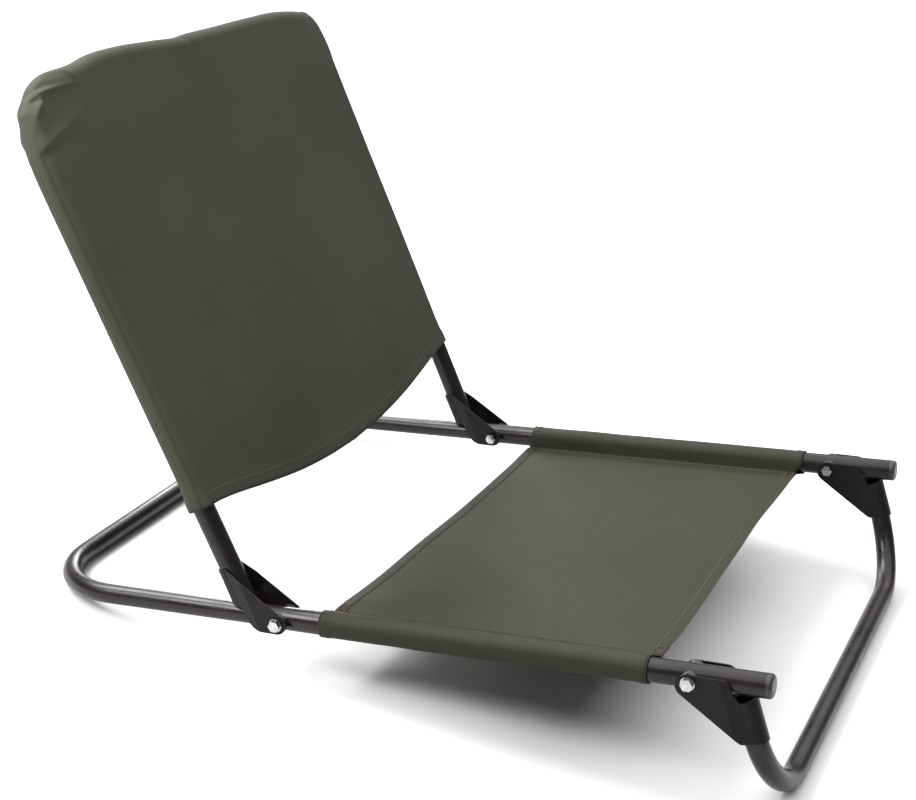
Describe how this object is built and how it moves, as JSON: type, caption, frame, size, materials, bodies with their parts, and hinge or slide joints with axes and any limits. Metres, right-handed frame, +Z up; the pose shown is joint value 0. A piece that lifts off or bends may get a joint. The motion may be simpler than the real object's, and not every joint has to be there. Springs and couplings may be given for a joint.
{
  "type": "folding camp chair",
  "caption": "Low folding camp chair: round tube frame with a rear floor loop, a hinged front leg and a hinged reclined backrest, a cloth seat and a slip-on cloth cover.",
  "frame": {"origin": "centre of the chair's bounding box on the floor, in use, backrest up and front leg down", "axes": "-Y is the front, towards the sitter's knees; +Z up; +X the sitter's left"},
  "size_m": [0.5826, 0.7969, 0.5069],
  "materials": {
    "tube_paint": "semi-gloss dark paint",
    "bracket_paint": "satin dark paint",
    "zinc": "bright zinc plate",
    "black_plastic": "moulded, satin",
    "back_cloth": "dark olive woven polyester",
    "seat_cloth": "dark olive woven polyester"
  },
  "bodies": {
    "seat_frame": {"rear_loop": "tube_paint", "seat_panel": "seat_cloth", "rail_left": "tube_paint", "rail_plug_left": "black_plastic", "seat_sleeve_left": "seat_cloth", "backrest_bolt_left": "zinc", "backrest_nut_left": "zinc", "backrest_spacer_outer_left": "black_plastic", "backrest_spacer_inner_left": "black_plastic", "leg_bolt_left": "zinc", "leg_nut_left": "zinc", "leg_spacer_outer_left": "black_plastic", "leg_spacer_inner_left": "black_plastic", "rail_right": "tube_paint", "rail_plug_right": "black_plastic", "seat_sleeve_right": "seat_cloth", "backrest_bolt_right": "zinc", "backrest_nut_right": "zinc", "backrest_spacer_outer_right": "black_plastic", "backrest_spacer_inner_right": "black_plastic", "leg_bolt_right": "zinc", "leg_nut_right": "zinc", "leg_spacer_outer_right": "black_plastic", "leg_spacer_inner_right": "black_plastic"},
    "backrest": {"backrest_tube": "tube_paint", "backrest_cover": "back_cloth", "backrest_bracket_left": "bracket_paint", "backrest_bracket_right": "bracket_paint"},
    "front_leg": {"leg_tube": "tube_paint", "leg_bracket_left": "bracket_paint", "leg_bracket_right": "bracket_paint"}
  },
  "joints": [
    {"name": "backrest_fold", "type": "hinge", "parent": "seat_frame", "child": "backrest", "pos_m": [0, 0.0899, 0.05266], "axis": [1, 0, 0], "range_deg": [0, 111]},
    {"name": "leg_fold", "type": "hinge", "parent": "seat_frame", "child": "front_leg", "pos_m": [0, -0.29866, 0.11482], "axis": [1, 0, 0], "range_deg": [0, 104]}
  ]
}
